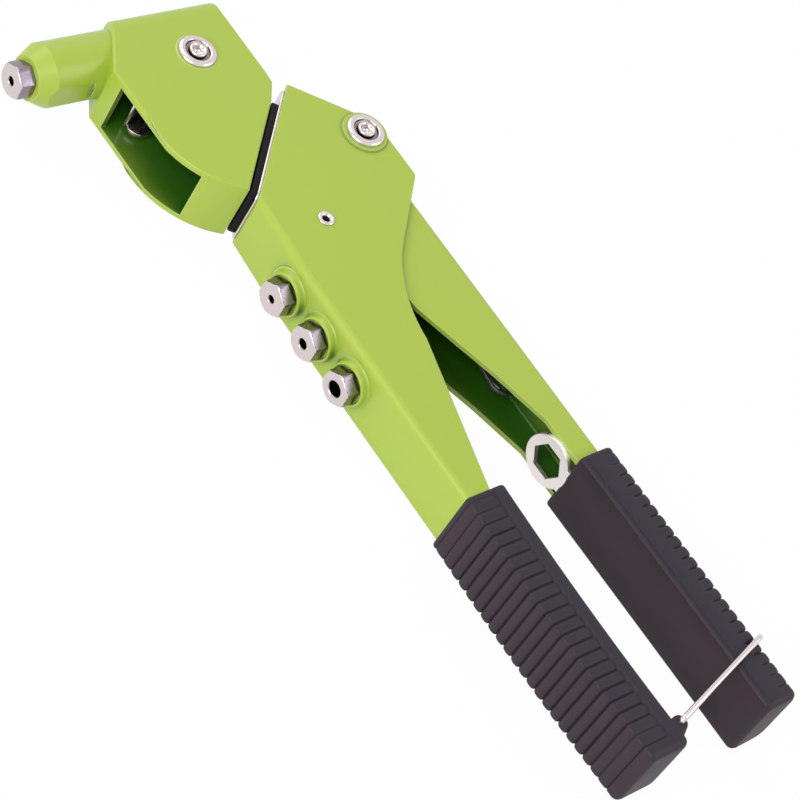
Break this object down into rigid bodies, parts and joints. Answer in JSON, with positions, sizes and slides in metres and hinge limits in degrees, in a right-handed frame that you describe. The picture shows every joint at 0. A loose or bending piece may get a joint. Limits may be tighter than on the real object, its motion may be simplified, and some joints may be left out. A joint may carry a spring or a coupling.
{
  "type": "hand riveter",
  "caption": "Hand riveter with a swivelling bent head, a fixed and a hinged handle with ribbed grips, spare nosepieces, a wrench and a wire latch.",
  "frame": {"origin": "centre of the rivet hole's mouth in the fitted nosepiece, on the middle plane", "axes": "+X from the head towards the handle ends, +Y from the fixed handle to the moving one, +Z the upper flat side"},
  "size_m": [0.2772, 0.098, 0.0282],
  "materials": {
    "green_paint": "smooth light green paint, semi-gloss",
    "grip_plastic": "dark purple-grey moulded grip, satin",
    "nickel": "bright nickel plate",
    "steel": "plain ground steel"
  },
  "bodies": {
    "body": {"body_shell": "green_paint", "swivel_plate": "steel", "fixed_grip": "grip_plastic", "main_pivot_pin": "nickel", "main_pivot_washer": "nickel", "spring_anchor_rivet": "nickel", "spare_nosepiece_2_4": "nickel", "spare_nosepiece_3_2": "nickel", "spare_nosepiece_4_8": "nickel"},
    "head": {"head_shell": "green_paint", "nose_barrel": "green_paint", "fitted_nosepiece": "nickel", "head_pin": "nickel", "head_pin_washer": "nickel", "swivel_spigot": "steel", "swivel_ring": "steel", "swivel_washer": "steel"},
    "head_lever": {"head_lever": "steel"},
    "jaw_unit": {"jaw_case": "steel", "jaws": "steel", "jaw_pusher": "steel", "jaw_spring": "steel"},
    "push_rod": {"push_rod": "steel"},
    "handle": {"moving_handle": "green_paint", "handle_arm": "steel", "arm_rivet": "nickel", "arm_spacer": "steel", "moving_grip": "grip_plastic", "nosepiece_wrench": "nickel", "return_spring": "steel"},
    "latch": {"latch_bail": "nickel"}
  },
  "joints": [
    {"name": "head_swivel", "type": "hinge", "parent": "body", "child": "head", "pos_m": [0.04915, 0.05953, 0], "axis": [-0.7254, -0.6884, 0], "continuous": true},
    {"name": "handle_open", "type": "hinge", "parent": "body", "child": "handle", "pos_m": [0.05706, 0.09004, 0], "axis": [0, 0, 1], "range_deg": [0, 30], "deforming": ["return_spring"]},
    {"name": "push_rod_slide", "type": "slide", "parent": "body", "child": "push_rod", "axis": [-0.7254, -0.6884, 0], "range_m": [-0.00881, 0]},
    {"name": "head_lever_turn", "type": "hinge", "parent": "head", "child": "head_lever", "pos_m": [0.01446, 0.05493, 0], "axis": [0, 0, 1], "range_deg": [0, 24.39]},
    {"name": "jaw_slide", "type": "slide", "parent": "head", "child": "jaw_unit", "axis": [-0.0785, -0.9969, 0], "range_m": [0, 0.00427]},
    {"name": "latch_swing", "type": "hinge", "parent": "body", "child": "latch", "pos_m": [0.26066, 0.05244, 0], "axis": [0, 0, 1], "range_deg": [-120, 0]}
  ],
  "couplings": [
    {"joint": "push_rod_slide", "follows": "handle_open", "m_per_rad": -0.016826},
    {"joint": "head_lever_turn", "follows": "handle_open", "ratio": 0.81287},
    {"joint": "jaw_slide", "follows": "handle_open", "m_per_rad": 0.0081488}
  ]
}
